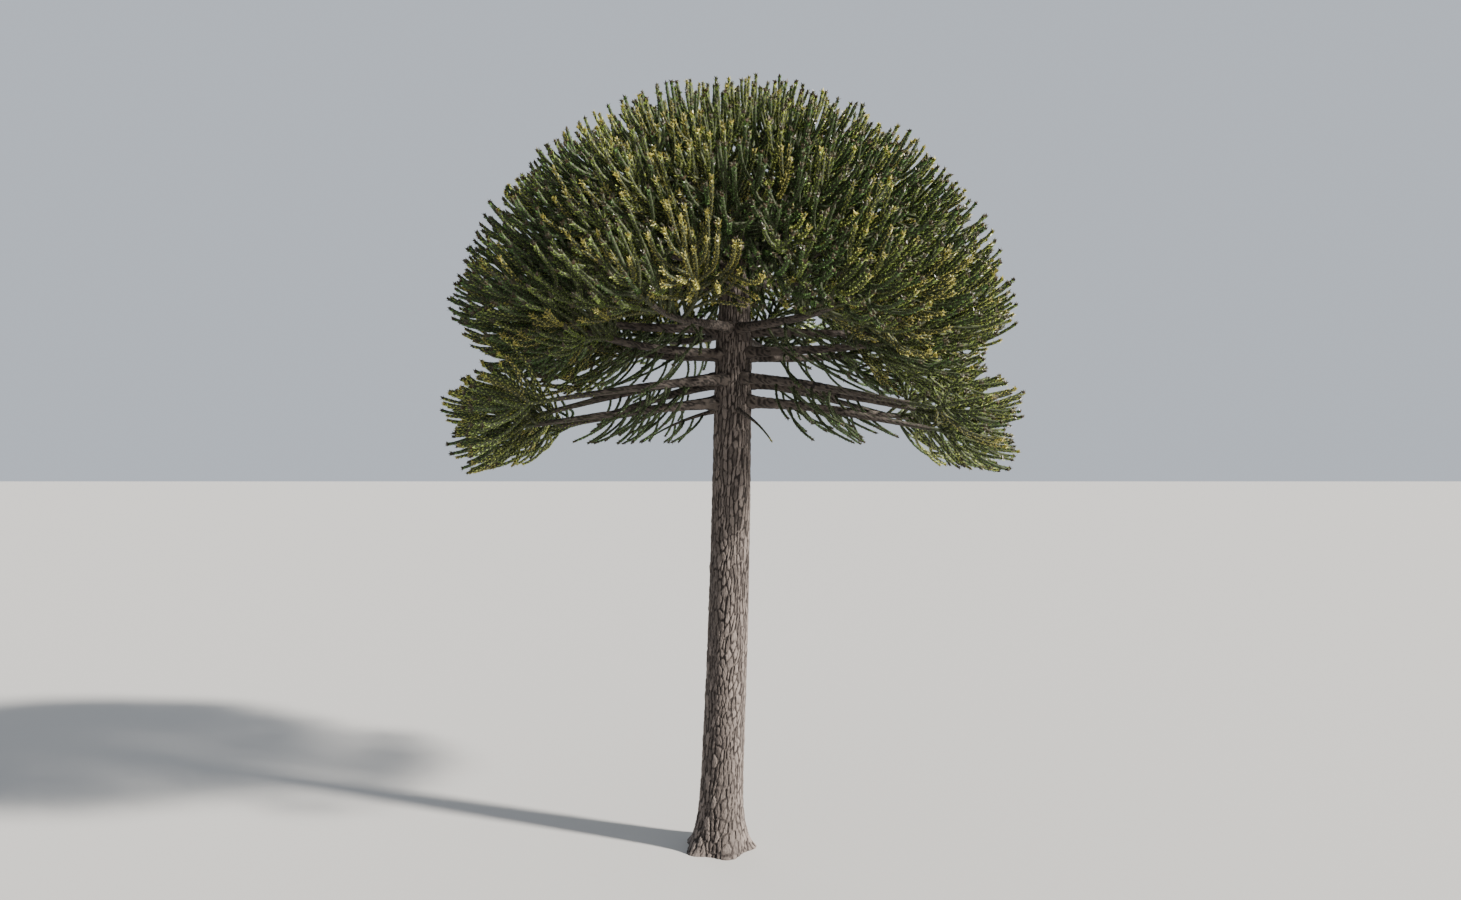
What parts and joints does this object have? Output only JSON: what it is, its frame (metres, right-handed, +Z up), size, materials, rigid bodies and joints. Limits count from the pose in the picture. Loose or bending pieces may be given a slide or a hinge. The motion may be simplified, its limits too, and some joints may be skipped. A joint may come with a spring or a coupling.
{
  "type": "monkey puzzle tree",
  "caption": "Tall conifer with a bare straight trunk and a domed crown of rope-like shoots covered in stiff scale leaves.",
  "frame": {"origin": "centre of the flat cut under the trunk, at ground level", "axes": "+Z up, -Y towards the viewer in the picture, +X to the right of the picture, the way the trunk leans"},
  "size_m": [9.6918, 9.2748, 12.9935],
  "materials": {
    "bark": "rough grey-brown bark in plates",
    "bough_bark": "rough dark brown bark with leaf scars",
    "leaves": "stiff satin olive green leaves"
  },
  "bodies": {
    "root": {"bough_lower_01": "bough_bark", "bough_lower_02": "bough_bark", "bough_lower_03": "bough_bark", "bough_lower_04": "bough_bark", "bough_lower_05": "bough_bark", "bough_lower_06": "bough_bark", "bough_lower_07": "bough_bark", "bough_lower_08": "bough_bark", "bough_lower_09": "bough_bark", "bough_lower_10": "bough_bark", "bough_middle_01": "bough_bark", "bough_middle_02": "bough_bark", "bough_middle_03": "bough_bark", "bough_middle_04": "bough_bark", "bough_middle_05": "bough_bark", "bough_middle_06": "bough_bark", "bough_middle_07": "bough_bark", "bough_middle_08": "bough_bark", "bough_middle_09": "bough_bark", "bough_middle_10": "bough_bark", "foliage_crest_01": "leaves", "foliage_high_01": "leaves", "foliage_high_02": "leaves", "foliage_high_03": "leaves", "foliage_high_04": "leaves", "foliage_high_05": "leaves", "foliage_inner_01": "leaves", "foliage_inner_02": "leaves", "foliage_inner_03": "leaves", "foliage_lower_01": "leaves", "foliage_lower_02": "leaves", "foliage_lower_03": "leaves", "foliage_lower_04": "leaves", "foliage_lower_05": "leaves", "foliage_lower_06": "leaves", "foliage_lower_07": "leaves", "foliage_lower_08": "leaves", "foliage_lower_09": "leaves", "foliage_lower_10": "leaves", "foliage_middle_01": "leaves", "foliage_middle_02": "leaves", "foliage_middle_03": "leaves", "foliage_middle_04": "leaves", "foliage_middle_05": "leaves", "foliage_middle_06": "leaves", "foliage_middle_07": "leaves", "foliage_middle_08": "leaves", "foliage_middle_09": "leaves", "foliage_middle_10": "leaves", "foliage_top_01": "leaves", "foliage_top_02": "leaves", "foliage_top_03": "leaves", "foliage_upper_01": "leaves", "foliage_upper_02": "leaves", "foliage_upper_03": "leaves", "foliage_upper_04": "leaves", "foliage_upper_05": "leaves", "foliage_upper_06": "leaves", "foliage_upper_07": "leaves", "trunk": "bark"}
  },
  "joints": []
}
